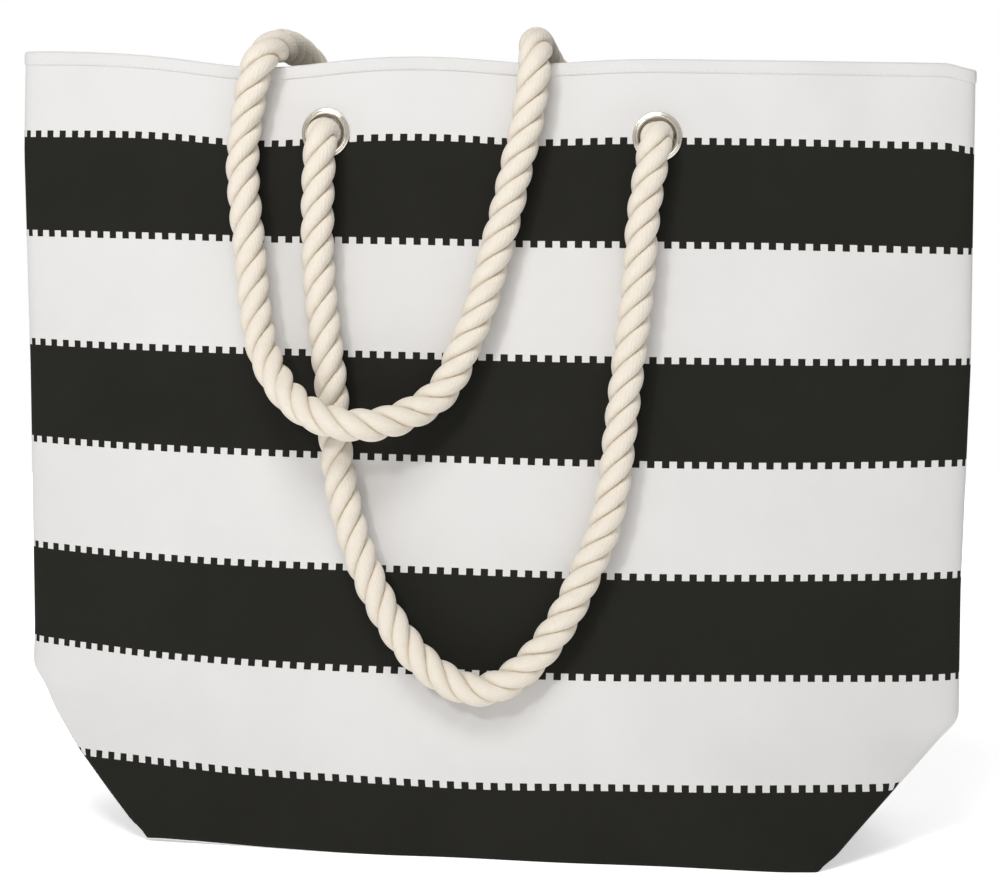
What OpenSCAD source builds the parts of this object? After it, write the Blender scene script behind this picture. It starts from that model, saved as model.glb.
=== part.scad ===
// Beach bag: a canvas tote with a boxed base, four eyelets and two rope handles.
// The front faces -Y, the base stands on Z = 0 and X runs to the right. Millimetres.

/* [Bag] */
// Height from the floor to the top of the rim
bag_h = 388; // [360:4:420]
// Width across the rim, seam to seam
rim_w = 480; // [440:2:500]
// Depth of the open mouth
rim_d = 60; // [58:2:80]
// Width of the boxed base
base_w = 338; // [300:2:380]
// Depth of the boxed base
base_d = 150; // [120:2:180]
// Height of the folded corner points above the floor
fold_z = 66; // [50:1:90]
// Width across the two folded corner points
fold_w = 477; // [440:1:500]

/* [Cloth] */
// Thickness of the outer canvas
canvas_t = 1.4; // [1:0.1:1.6]
// Thickness of the lining cloth
lining_t = 0.6; // [0.4:0.1:0.8]
// Thickness of the tape that binds the rim
binding_t = 0.5; // [0.4:0.1:0.6]
// Height of the tape that binds the rim
binding_h = 7; // [5:0.5:10]

/* [Eyelets] */
// Distance of an eyelet from the middle of the bag
eyelet_x = 82; // [70:1:95]
// Distance of an eyelet below the rim
eyelet_drop = 36; // [30:1:45]
// Radius of the hole through an eyelet
bore_r = 9.3; // [9:0.1:9.6]
// Outer radius of an eyelet's rolled rim
flange_r = 11.8; // [11.5:0.1:13]

/* [Rope] */
// Radius of the handle rope
rope_r = 8; // [7:0.1:8.4]
// Width radius of a stopper knot
knot_r = 17; // [14:0.5:18]
// Half thickness of a stopper knot
knot_t = 12; // [10:0.5:12]

/* [Hidden] */
$fn = 64;

canvas_white = [0.93, 0.92, 0.90];
canvas_black = [0.10, 0.10, 0.09];
lining_grey = [0.80, 0.79, 0.76];
nickel = [0.82, 0.80, 0.75];
cotton = [0.88, 0.84, 0.76];

// How full the cloth stands between its side seams, and how fast it falls in above the base
belly_power = 2.6;
sag_power = 0.6;
// Clear space between two layers of cloth
layer_gap = 0.3;
// Half the thickness of the bag at its side seams, and half the gap between the two panels there
seam_depth = 3.6;
seam_gap = 0.2;
// Columns of facets across a panel, and rows in the corner folds and above them
columns = 24;
fold_rows = 5;
wall_rows = 10;

lining_d = canvas_t + layer_gap;
lining_back_d = lining_d + lining_t;
eyelet_z = bag_h - eyelet_drop;
base_gap = 0.2;

// ---- The bag's surface ----

function half_width(z) = z < fold_z
    ? (base_w + (fold_w - base_w) * z / fold_z) / 2
    : (fold_w + (rim_w - fold_w) * (z - fold_z) / (bag_h - fold_z)) / 2;

function edge_depth(z) = max(base_d / 2 * (1 - z / fold_z), seam_depth);

function belly_depth(z) = rim_d / 2 + (base_d - rim_d) / 2 * (1 - pow(z / bag_h, sag_power));

// Depth of the outer cloth in front of the middle plane, at a fraction u of the half width
function cloth_depth(u, z) =
    edge_depth(z) + max(belly_depth(z) - edge_depth(z), 0) * (1 - pow(min(abs(u), 1), belly_power));

function cloth_depth_at(x, z) = cloth_depth(x / half_width(z), min(z, bag_h));

// ---- Walls: thin curved shells, their facets worked out from the surface ----

// One level of a wall, a distance in from the outer cloth, from the left seam to the right seam
function wall_row(z, inset) = concat(
    [[-(half_width(z) - inset), -seam_gap, z]],
    [for (k = [0:columns]) let (u = 2 * k / columns - 1)
        [u * (half_width(z) - inset), inset - cloth_depth(u, z), z]],
    [[half_width(z) - inset, -seam_gap, z]]);

function wall_levels(low, high) = concat(
    [for (k = [0:fold_rows - 1]) low + (fold_z - low) * k / fold_rows],
    [for (k = [0:wall_rows]) fold_z + (high - fold_z) * k / wall_rows]);

function quad(a, b, c, d) = [[a, b, c], [a, c, d]];

function join(lists) = [for (list = lists) for (item = list) item];

module wall(low, high, inset, thickness) {
    levels = wall_levels(low, high);
    across = columns + 3;
    up = len(levels);
    inner = across * up;
    points = join(concat([for (z = levels) wall_row(z, inset)],
                         [for (z = levels) wall_row(z, inset + thickness)]));
    faces = join(concat(
        [for (r = [0:up - 2]) for (i = [0:across - 2]) let (a = r * across + i)
            quad(a, a + across, a + across + 1, a + 1)],
        [for (r = [0:up - 2]) for (i = [0:across - 2]) let (a = inner + r * across + i)
            quad(a, a + 1, a + across + 1, a + across)],
        [for (i = [0:across - 2]) quad(i, i + 1, inner + i + 1, inner + i)],
        [for (i = [0:across - 2]) let (a = (up - 1) * across + i)
            quad(a, inner + a, inner + a + 1, a + 1)],
        [for (r = [0:up - 2]) let (a = r * across)
            quad(a, inner + a, inner + a + across, a + across)],
        [for (r = [0:up - 2]) let (a = r * across + across - 1)
            quad(a, a + across, inner + a + across, inner + a)]));
    polyhedron(points, faces);
}

// ---- Places on the front of the bag ----

// Direction out of the cloth at a point of the front
function cloth_normal(x, z) =
    let (slope_x = (cloth_depth_at(x + 1, z) - cloth_depth_at(x - 1, z)) / 2,
         slope_z = (cloth_depth_at(x, z + 1) - cloth_depth_at(x, z - 1)) / 2,
         n = [-slope_x, -1, -slope_z])
    n / norm(n);

// Puts its children on the front cloth at an eyelet, with their Z axis straight out of the cloth
module at_eyelet(side) {
    n = cloth_normal(side * eyelet_x, eyelet_z);
    translate([side * eyelet_x, -cloth_depth_at(side * eyelet_x, eyelet_z), eyelet_z])
        rotate([0, acos(n[2]), atan2(n[1], n[0])])
            children();
}

module rear() {
    mirror([0, 1, 0]) children();
}

// ---- Cloth parts ----

module eyelet_holes() {
    for (side = [-1, 1])
        at_eyelet(side) translate([0, 0, -8]) cylinder(h = 16, r = bore_r + 1.1);
}

module front_panel() {
    color(canvas_white)
        difference() {
            wall(canvas_t + 2 * base_gap, bag_h - binding_t - layer_gap, 0, canvas_t);
            eyelet_holes();
        }
}

module lining_front() {
    color(lining_grey)
        difference() {
            wall(3.2, bag_h - binding_t - layer_gap, lining_d, lining_t);
            eyelet_holes();
        }
}

module base_panel() {
    color(canvas_black)
        linear_extrude(canvas_t)
            offset(r = 4) square([base_w - 8, base_d - 8], center = true);
}

module lining_base() {
    color(lining_grey)
        translate([0, 0, canvas_t + 2 * base_gap])
            linear_extrude(lining_t)
                offset(r = 4) square([base_w - 16, base_d - 18], center = true);
}

// The tape is folded over the top of the canvas and the lining
module rim_binding_front() {
    top = bag_h;
    low = bag_h - binding_h;
    out = -layer_gap - binding_t;
    back = lining_back_d + layer_gap;
    section = [[out, low], [out, top], [back + binding_t, top], [back + binding_t, low],
               [back, low], [back, top - binding_t], [-layer_gap, top - binding_t], [-layer_gap, low]];
    sides = len(section);
    points = [for (k = [0:columns]) for (s = section) let (u = 2 * k / columns - 1)
        [u * (half_width(s[1]) - s[0]), s[0] - cloth_depth(u, s[1]), s[1]]];
    end = columns * sides;
    caps = [[0, 1, 6, 7], [1, 2, 5, 6], [2, 3, 4, 5]];
    faces = concat(
        join([for (k = [0:columns - 1]) for (s = [0:sides - 1])
            let (a = k * sides + s, b = k * sides + (s + 1) % sides)
            quad(a, b, b + sides, a + sides)]),
        join([for (c = caps) quad(c[3], c[2], c[1], c[0])]),
        join([for (c = caps) quad(end + c[0], end + c[1], end + c[2], end + c[3])]));
    color(canvas_white) polyhedron(points, faces);
}

// ---- Eyelets ----

// A rolled metal eyelet: its barrel passes through the cloth and its domed rim lies on the front
module eyelet(side) {
    barrel_r = bore_r + 0.6;
    inside_z = -lining_back_d - 1.4;
    color(nickel)
        at_eyelet(side)
            rotate_extrude()
                polygon([[bore_r, inside_z], [barrel_r, inside_z], [barrel_r, layer_gap],
                         [flange_r - 0.2, layer_gap], [flange_r, 0.9], [flange_r - 0.5, 1.6],
                         [(bore_r + flange_r) / 2, 2], [bore_r + 0.5, 1.6], [bore_r, 0.9]]);
}

module washer(side) {
    color(nickel)
        at_eyelet(side)
            translate([0, 0, -lining_back_d - 1.1])
                difference() {
                    cylinder(h = 0.8, r = flange_r + 0.4);
                    translate([0, 0, -1]) cylinder(h = 3, r = bore_r + 0.9);
                }
}

// ---- Rope ----

// Clear space at a hinge between the rope that turns and the rope that stays
turn_gap = 0.6;
// The rope's centre stands this far out of the cloth where it leaves an eyelet
rope_out = 2.4 + rope_r + turn_gap;
// Height of the rope's centre where it lies over the rim, and its place in front of the rim
over_rim_z = bag_h + 9;
over_rim_y = -rim_d / 2 - 8.5;
left_turn = [-110, over_rim_y, over_rim_z];
right_turn = [25, over_rim_y, over_rim_z];

function eyelet_turn(side) =
    [side * eyelet_x, -cloth_depth_at(side * eyelet_x, eyelet_z), eyelet_z]
    + rope_out * cloth_normal(side * eyelet_x, eyelet_z);

// Points of the front handle, left to right: across, out from the cloth, down from the eyelets
front_points = [
    [-82, 10, 20], [-82, 10, 44], [-81, 10, 68], [-78, 10, 92], [-75, 10, 112], [-72, 10, 134],
    [-70, 10, 156], [-66, 10, 177], [-60, 10, 198], [-51, 10, 219], [-39, 10, 240], [-24, 10, 257],
    [-6, 10, 268], [9, 10, 269], [23, 10, 261], [36, 10, 247], [47, 10, 229], [56, 10, 208],
    [63, 10, 190], [67, 10, 170], [69, 10, 150], [71, 10, 128], [73, 10, 108], [75, 10, 88],
    [77, 10, 64], [78, 10, 42], [80, 10, 24]];

// Points of the back handle in front of the bag. It crosses over the front handle near x = -72
loop_points = [
    [-115, 12.5, -33], [-119, 11, -12], [-121, 10, 12], [-119, 11, 36], [-116, 11, 60], [-113, 12, 84],
    [-108, 14, 106], [-97, 20, 124], [-84, 26, 134], [-71, 29, 139], [-57, 28, 141], [-44, 23, 140],
    [-31, 17, 135], [-19, 14, 127], [-12, 12, 116], [-7, 12, 102], [0, 12, 84], [6, 11, 60],
    [12, 11, 36], [17, 11, 12], [22, 10, -15]];

// Points of the back handle from an eyelet in the back, over both rims, to where it turns down
left_riser_points = [
    [-87, rim_d / 2 + 12, bag_h - 18], [-92, rim_d / 2 + 12.5, bag_h - 5],
    [-96, rim_d / 2 + 10, bag_h + 5.5], [-100, rim_d / 2 + 1, bag_h + 10],
    [-104, 8, bag_h + 9.5], [-107, -14, bag_h + 9]];
right_riser_points = [
    [70, rim_d / 2 + 12.5, bag_h - 24], [52, rim_d / 2 + 12.5, bag_h - 14],
    [39, rim_d / 2 + 12, bag_h - 1], [33, rim_d / 2 + 6.5, bag_h + 8.5],
    [28, rim_d / 2 - 8, bag_h + 10.5], [26, 2, bag_h + 9.5], [25.5, -16, bag_h + 9]];

function on_front(p) = let (z = eyelet_z - p[2]) [p[0], -cloth_depth_at(p[0], z) - p[1], z];

function rear_point(p) = [p[0], -p[1], p[2]];

rope_sides = 10;
// Corners of the rope's rings stand a little outside its radius, so that its area is right
rope_corner_r = rope_r * 1.025;

// The point that lies back from b towards a, by the rope's radius and twice the gap
function short_of(a, b) = b - (rope_corner_r + 2 * turn_gap) * unit(b - a);

function unit(v) = v / norm(v);

function path_tangent(path, k) = unit(path[min(k + 1, len(path) - 1)] - path[max(k - 1, 0)]);

// A ring of points round a path, level with the reference direction
function ring(path, k, reference) =
    let (t = path_tangent(path, k), a = unit(cross(t, reference)), b = cross(t, a))
    [for (s = [0:rope_sides - 1]) let (w = 360 * s / rope_sides)
        path[k] + rope_corner_r * (a * cos(w) + b * sin(w))];

module tube(path, reference) {
    last = len(path) - 1;
    points = join([for (k = [0:last]) ring(path, k, reference)]);
    faces = concat(
        join([for (k = [0:last - 1]) for (s = [0:rope_sides - 1])
            let (a = k * rope_sides + s, b = k * rope_sides + (s + 1) % rope_sides)
            quad(a, a + rope_sides, b + rope_sides, b)]),
        [[for (s = [0:rope_sides - 1]) s]],
        [[for (s = [rope_sides - 1:-1:0]) last * rope_sides + s]]);
    polyhedron(points, faces);
}

module round_end(point) {
    translate(point) sphere(r = rope_r);
}

module front_rope() {
    path = concat([eyelet_turn(-1)], [for (p = front_points) on_front(p)], [eyelet_turn(1)]);
    color(cotton)
        union() {
            tube(path, [0, 1, 0]);
            round_end(eyelet_turn(-1));
            round_end(eyelet_turn(1));
        }
}

module back_rope_loop() {
    path = concat([left_turn], [for (p = loop_points) on_front(p)], [right_turn]);
    color(cotton)
        union() {
            tube(path, [0, 1, 0]);
            round_end(left_turn);
            round_end(right_turn);
        }
}

module riser(start, points, turn) {
    path = concat([start], points, [short_of(points[len(points) - 1], turn)]);
    color(cotton)
        union() {
            tube(path, [1, 0, 0]);
            round_end(start);
        }
}

module back_rope_left_riser() {
    riser(rear_point(eyelet_turn(-1)), left_riser_points, left_turn);
}

module back_rope_right_riser() {
    riser(rear_point(eyelet_turn(1)), right_riser_points, right_turn);
}

// The end of a rope: it passes in through its eyelet and is tied in a stopper knot behind the washer
module knot(side) {
    stub_z = rope_out - rope_r - turn_gap;
    knot_z = -lining_back_d - 1.8 - knot_t;
    neck = acos(rope_r / knot_r);
    color(cotton)
        at_eyelet(side)
            rotate_extrude()
                polygon(concat([[0, stub_z], [rope_r, stub_z]],
                    [for (k = [0:12]) let (w = neck - (neck + 90) * k / 12)
                        [knot_r * cos(w), knot_z + knot_t * sin(w)]]));
}

// ---- Nodes ----

front_panel();
rear() front_panel();  // back_panel
base_panel();
lining_front();
rear() lining_front();  // lining_back
lining_base();
rim_binding_front();
rear() rim_binding_front();  // rim_binding_back
eyelet(-1);  // eyelet_front_left
eyelet(1);  // eyelet_front_right
rear() eyelet(-1);  // eyelet_back_left
rear() eyelet(1);  // eyelet_back_right
washer(-1);  // washer_front_left
washer(1);  // washer_front_right
rear() washer(-1);  // washer_back_left
rear() washer(1);  // washer_back_right
knot(-1);  // knot_front_left
knot(1);  // knot_front_right
rear() knot(-1);  // knot_back_left
rear() knot(1);  // knot_back_right
front_rope();
back_rope_left_riser();
back_rope_right_riser();
back_rope_loop();
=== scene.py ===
import math

import bmesh
import bpy
import numpy as np
from mathutils import Matrix, Vector


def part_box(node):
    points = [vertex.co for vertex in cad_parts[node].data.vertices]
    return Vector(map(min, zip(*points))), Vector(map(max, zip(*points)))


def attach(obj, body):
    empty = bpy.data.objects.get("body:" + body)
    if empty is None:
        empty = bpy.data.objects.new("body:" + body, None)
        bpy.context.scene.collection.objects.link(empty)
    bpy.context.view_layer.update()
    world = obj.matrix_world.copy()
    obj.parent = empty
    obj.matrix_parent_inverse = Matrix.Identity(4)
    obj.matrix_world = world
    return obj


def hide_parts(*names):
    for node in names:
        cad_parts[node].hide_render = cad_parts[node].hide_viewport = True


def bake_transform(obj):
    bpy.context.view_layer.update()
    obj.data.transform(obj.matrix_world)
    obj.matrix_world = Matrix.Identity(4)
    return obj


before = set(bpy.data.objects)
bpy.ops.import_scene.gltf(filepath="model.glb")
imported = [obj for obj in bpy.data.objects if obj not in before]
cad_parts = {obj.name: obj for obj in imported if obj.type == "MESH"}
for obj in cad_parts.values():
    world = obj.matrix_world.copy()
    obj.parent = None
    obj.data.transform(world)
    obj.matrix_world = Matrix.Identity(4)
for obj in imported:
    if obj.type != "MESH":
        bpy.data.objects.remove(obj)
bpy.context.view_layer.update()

# ---- Sizes ----

panel_low, panel_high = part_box("front_panel")
base_low, base_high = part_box("base_panel")
BAG_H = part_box("rim_binding_front")[1].z
RIM_W = panel_high.x - panel_low.x
BASE_W = base_high.x - base_low.x
BASE_D = base_high.y - base_low.y
RIM_D = 0.060
FOLD_W = 0.477
FOLD_Z = 0.066
SEAM_DEPTH = 0.0036
BELLY_POWER = 2.6
SAG_POWER = 0.6

# The soft cloth leans a little: height and distance from the middle, along each side's seam. These and LIFTS
# were typed from the differences that a scratch script measured between the photo and renders
SEAMS = {-1: ((0.0, 0.1640), (0.018, 0.1868), (0.036, 0.2085), (0.055, 0.2280), (0.072, 0.2405),
              (0.090, 0.2395), (0.230, 0.2413), (0.340, 0.2441), (0.388, 0.2430)),
         1: ((0.0, 0.1735), (0.030, 0.2048), (0.046, 0.2212), (0.063, 0.2380), (0.130, 0.2370),
             (0.240, 0.2385), (0.388, 0.2364))}
# Height of each side's corner fold
FOLD_HEIGHTS = {-1: 0.070, 1: 0.063}
# Where the printed cloth rides up or sags: height, then millimetres of lift at the places across in LIFT_AT
LIFT_AT = (-1.0, -0.55, 0.0, 0.55, 1.0)
LIFTS = (
    (0.000, 2.6, 1.0, 0.0, 0.0, 0.0),
    (0.034, 1.7, 0.8, -0.5, 1.6, 0.4),
    (0.088, 0.0, -0.4, -0.5, 0.3, -2.4),
    (0.137, 0.6, 0.0, 0.4, 0.0, 0.0),
    (0.192, 0.0, -0.4, -0.4, -0.8, 0.3),
    (0.242, 0.3, 0.0, 0.0, 0.0, 0.5),
    (0.298, -0.3, 0.0, -0.4, 0.0, -1.2),
    (0.348, -0.4, 0.4, 0.3, 0.2, -0.5),
    (0.388, 0.0, 0.0, 0.0, 0.0, 0.0))
# How far the foot of each wall bows out
FOOT_BOW = 0.005

CANVAS_T = 0.0012
LINING_T = 0.0005
LAYER_GAP = 0.0004
BINDING_T = 0.0005
BINDING_H = 0.0068
# How high the feet of the canvas and of the lining are
CANVAS_LOW = 0.0006
LINING_LOW = 0.0034
# Width that the weave's layer gives a wall
WEAVE_W = 0.49

STITCH_L = 0.0022
STITCH_R = 0.00022
STITCH_PITCH = 0.0033
STITCH_RISE = 0.0009

EYELET_X = 0.082
EYELET_SHIFT = 0.0014
EYELET_Z = BAG_H - 0.0374
BORE_R = 0.0093
HOLE_R = BORE_R + 0.0008
FLANGE_R = 0.0122

ROPE_R = 0.0083
ROPE_LAY = 0.038
STRANDS = 3
YARNS = 27
ROPE_OUT = 0.011

# Heights of the borders between white and black bands, from the white band at the rim down to the black
# band at the base. A scratch fit to the photo printed these seven. Then the height of the teeth on a border
STRIPE_EDGES = (0.3484, 0.2983, 0.2422, 0.1921, 0.1367, 0.0877, 0.0344)
TOOTH_H = 0.0033


# ---- The bag's surface, as in the CAD model ----

def half_width(z):
    low = BASE_W / 2 + (FOLD_W - BASE_W) / 2 * z / FOLD_Z
    high = FOLD_W / 2 + (RIM_W - FOLD_W) / 2 * (z - FOLD_Z) / (BAG_H - FOLD_Z)
    return low if z < FOLD_Z else high


def edge_depth(z, fold_z=FOLD_Z):
    return max(BASE_D / 2 * (1 - z / fold_z), SEAM_DEPTH)


def belly_depth(z):
    return RIM_D / 2 + (BASE_D - RIM_D) / 2 * (1 - (z / BAG_H) ** SAG_POWER)


def cloth_depth(x, z):
    """Depth of the front cloth before the middle plane."""
    z = min(max(z, 0.0), BAG_H)
    edge, belly = edge_depth(z), belly_depth(z)
    u = min(abs(x) / half_width(z), 1.0)
    return edge + max(belly - edge, 0.0) * (1 - u ** BELLY_POWER)


def cloth_normal(x, z):
    step = 0.001
    slope_x = (cloth_depth(x + step, z) - cloth_depth(x - step, z)) / (2 * step)
    slope_z = (cloth_depth(x, z + step) - cloth_depth(x, z - step)) / (2 * step)
    return Vector((-slope_x, -1.0, -slope_z)).normalized()


def smooth_step(t):
    t = np.clip(t, 0.0, 1.0)
    return t * t * (3 - 2 * t)


def unit(vectors):
    """Vectors of length one. A vector of no length stays as it is."""
    return vectors / np.maximum(np.linalg.norm(vectors, axis=-1), 1e-12)[..., None]


# ---- Camera ----

def make_camera():
    """Stands a little to the right of the bag's front and just below its rim, as a scratch fit found it."""
    azimuth, elevation, roll = math.radians(7.44), math.radians(5.98), math.radians(0.765)
    distance, target = 1.383, Vector((0.0042, 0.0, 0.1939))
    back = Vector((math.sin(azimuth) * math.cos(elevation),
                   -math.cos(azimuth) * math.cos(elevation), math.sin(elevation)))
    right = (-back).cross(Vector((0, 0, 1))).normalized()
    up = right.cross(-back)
    camera_right = right * math.cos(roll) + up * math.sin(roll)
    camera_up = up * math.cos(roll) - right * math.sin(roll)
    data = bpy.data.cameras.new("camera")
    data.sensor_width = 36.0
    data.lens = 98.1
    data.clip_start = 0.05
    camera = bpy.data.objects.new("camera", data)
    turn = Matrix((camera_right, camera_up, back)).transposed()
    camera.matrix_world = Matrix.Translation(target + back * distance) @ turn.to_4x4()
    bpy.context.scene.collection.objects.link(camera)
    bpy.context.scene.camera = camera


# ---- Materials ----

class Shader:
    """A short way to build one principled material's nodes."""

    def __init__(self, name, colour, roughness, **settings):
        self.material = bpy.data.materials.new(name)
        self.material.use_nodes = True
        self.tree = self.material.node_tree
        self.surface = self.tree.nodes["Principled BSDF"]
        self.surface.inputs["Base Color"].default_value = (*colour, 1.0)
        self.surface.inputs["Roughness"].default_value = roughness
        for socket, value in settings.items():
            self.surface.inputs[socket.replace("_", " ")].default_value = value

    def node(self, kind, inputs=(), **settings):
        made = self.tree.nodes.new("ShaderNode" + kind)
        for key, value in settings.items():
            setattr(made, key, value)
        for socket, value in dict(inputs).items():
            if isinstance(value, bpy.types.NodeSocket):
                self.tree.links.new(value, made.inputs[socket])
            else:
                made.inputs[socket].default_value = value
        return made

    def math(self, operation, a, b=0.0):
        return self.node("Math", {0: a, 1: b}, operation=operation).outputs[0]

    def noise(self, vector, scale, detail=3.0):
        made = self.node("TexNoise", {"Vector": vector, "Scale": scale, "Detail": detail})
        return made.outputs["Fac"]

    def object_point(self):
        return self.node("TexCoord").outputs["Object"]

    def layer_point(self, layer):
        return self.node("UVMap", uv_map=layer).outputs["UV"]

    def tint(self, factor, first, second, start=0.3, end=0.7):
        """Varies the base colour from the first colour to the second."""
        ramp = self.node("ValToRGB", {"Fac": factor})
        for element, colour, position in zip(ramp.color_ramp.elements, (first, second), (start, end)):
            element.color = (*colour, 1.0)
            element.position = position
        self.tree.links.new(ramp.outputs["Color"], self.surface.inputs["Base Color"])

    def bump(self, height, depth, strength=1.0):
        made = self.node("Bump", {"Height": height, "Distance": depth, "Strength": strength})
        self.tree.links.new(made.outputs["Normal"], self.surface.inputs["Normal"])


def weave_height(shader, point, thread):
    """A plain weave, as a height from -1 to 1: threads of that width cross over and under."""
    parts = shader.node("SeparateXYZ", {0: point})
    turn = math.pi / thread
    across = shader.math("SINE", shader.math("MULTIPLY", parts.outputs["X"], turn))
    along = shader.math("SINE", shader.math("MULTIPLY", parts.outputs["Y"], turn))
    return shader.math("MULTIPLY", across, along)


def cloth_material(name, dark, light, thread, weave_depth, roughness, sheen):
    shader = Shader(name, light, roughness, Sheen_Weight=sheen, Sheen_Roughness=0.5,
                    Specular_IOR_Level=0.12)
    point = shader.layer_point("cloth")
    weave = weave_height(shader, point, thread)
    slub = shader.noise(shader.object_point(), 300.0)
    height = shader.math("ADD", shader.math("MULTIPLY", weave, 0.22), slub)
    shader.bump(height, weave_depth)
    shader.tint(shader.noise(shader.object_point(), 26.0, 4.0), dark, light)
    return shader.material


def rope_material():
    """Undyed cotton: yarns lie along the rope on every strand, and a painted shade makes the grooves warmer
    and darker.
    """
    shader = Shader("cotton_rope", (0.82, 0.77, 0.67), 0.9, Sheen_Weight=0.2, Sheen_Roughness=0.5,
                    Specular_IOR_Level=0.15)
    parts = shader.node("SeparateXYZ", {0: shader.layer_point("strand")})
    across, along = parts.outputs["X"], parts.outputs["Y"]
    point = shader.object_point()
    # A yarn keeps its angle about the rope while its strand winds on
    yarn_turn = shader.math("MULTIPLY", across, YARNS * math.pi * 2 / STRANDS)
    yarn_run = shader.math("MULTIPLY", along, YARNS * math.pi * 2 / ROPE_LAY)
    drift = shader.math("MULTIPLY", shader.noise(point, 260.0), 5.0)
    phase = shader.math("ADD", shader.math("ADD", yarn_turn, yarn_run), drift)
    yarns = shader.math("MULTIPLY", shader.math("SINE", phase), 0.22)
    fibres = shader.noise(point, 1400.0, 4.0)
    shader.bump(shader.math("ADD", yarns, fibres), 0.00021)
    # 0 on the crown of a strand and 1 deep between two strands, where a painted shade, broken up by noise,
    # darkens the colour
    from_crown = shader.math("ABSOLUTE", shader.math("SUBTRACT", shader.math("MULTIPLY", across, 2.0), 1.0))
    depth = shader.math("ADD", shader.math("MULTIPLY", shader.noise(point, 90.0), 1.4), -0.1)
    groove_shade = shader.math("MULTIPLY", shader.math("POWER", from_crown, 14.0), depth)
    mottle = shader.math("MULTIPLY", shader.noise(point, 150.0, 4.0), 0.35)
    # The rope's own colour on the crowns, then the painted shade colour in the grooves
    shader.tint(shader.math("ADD", groove_shade, mottle), (0.762, 0.698, 0.602), (0.525, 0.40, 0.245), 0.2, 0.86)
    return shader.material


def nickel_material():
    shader = Shader("nickel", (0.93, 0.89, 0.81), 0.2, Metallic=1.0)
    brushed = shader.noise(shader.object_point(), 900.0)
    shader.bump(brushed, 0.00002)
    wear = shader.noise(shader.object_point(), 260.0)
    roughness = shader.math("ADD", shader.math("MULTIPLY", wear, 0.16), 0.12)
    shader.tree.links.new(roughness, shader.surface.inputs["Roughness"])
    return shader.material


def stage_material():
    shader = Shader("studio_paper", (0.93, 0.93, 0.93), 0.9)
    shader.surface.inputs["Emission Color"].default_value = (1.0, 1.0, 1.0, 1.0)
    # The paper shines more the farther it is from the bag, so that its edge is lost in the white studio
    nodes = shader.material.node_tree.nodes
    links = shader.material.node_tree.links
    place = nodes.new("ShaderNodeTexCoord")
    distance = nodes.new("ShaderNodeVectorMath")
    distance.operation = "LENGTH"
    links.new(place.outputs["Object"], distance.inputs[0])
    glow = nodes.new("ShaderNodeMapRange")
    glow.inputs["From Min"].default_value = 0.55
    glow.inputs["From Max"].default_value = 1.35
    glow.inputs["To Min"].default_value = 0.52
    glow.inputs["To Max"].default_value = 1.0
    links.new(distance.outputs["Value"], glow.inputs["Value"])
    links.new(glow.outputs["Result"], shader.surface.inputs["Emission Strength"])
    return shader.material


WHITE_CANVAS = cloth_material("white_canvas", (0.664, 0.651, 0.640), (0.684, 0.672, 0.660), 0.0009, 0.00004,
                              0.9, 0.05)
BLACK_CANVAS = cloth_material("black_canvas", (0.0143, 0.0140, 0.0114), (0.0163, 0.0160, 0.0131), 0.0009,
                              0.00004, 0.9, 0.0)
LINING_CLOTH = cloth_material("lining_cloth", (0.60, 0.585, 0.56), (0.65, 0.635, 0.61), 0.0006, 0.00004,
                              0.9, 0.05)
BINDING_TAPE = cloth_material("binding_tape", (0.664, 0.651, 0.640), (0.684, 0.672, 0.660), 0.0006, 0.00004,
                              0.9, 0.05)
THREAD = cloth_material("sewing_thread", (0.70, 0.685, 0.67), (0.74, 0.725, 0.71), 0.0003, 0.00003, 0.7, 0.1)
COTTON = rope_material()
NICKEL = nickel_material()


# ---- Meshes ----

def make_object(name, vertices, faces, materials, smooth=True):
    mesh = bpy.data.meshes.new(name)
    mesh.from_pydata([tuple(map(float, v)) for v in vertices], [], [tuple(map(int, f)) for f in faces])
    for material in materials:
        mesh.materials.append(material)
    mesh.polygons.foreach_set("use_smooth", [smooth] * len(mesh.polygons))
    made = bpy.data.objects.new(name, mesh)
    bpy.context.scene.collection.objects.link(made)
    return made


def set_layer(made, layer, points):
    """Writes a UV layer from one point for each vertex."""
    uv = made.data.uv_layers.new(name=layer)
    corners = np.zeros(len(made.data.loops), int)
    made.data.loops.foreach_get("vertex_index", corners)
    uv.data.foreach_set("uv", np.asarray(points, np.float32)[corners].ravel())


def grid_faces(rows, columns, first=0, flip=False, closed=False):
    """Quads of a grid of vertices, row after row."""
    r, c = np.meshgrid(np.arange(rows - 1), np.arange(columns if closed else columns - 1), indexing="ij")
    a = first + r * columns + c
    b = first + r * columns + (c + 1) % columns
    quads = np.stack([a, b, b + columns, a + columns], -1).reshape(-1, 4)
    return quads[:, ::-1] if flip else quads


def grid_border(rows, columns):
    """Vertices round the edge of a grid, in order."""
    ring = ([(0, c) for c in range(columns)] + [(r, columns - 1) for r in range(1, rows)]
            + [(rows - 1, c) for c in range(columns - 2, -1, -1)] + [(r, 0) for r in range(rows - 2, 0, -1)])
    return [r * columns + c for r, c in ring]


# ---- Ropes ----

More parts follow.
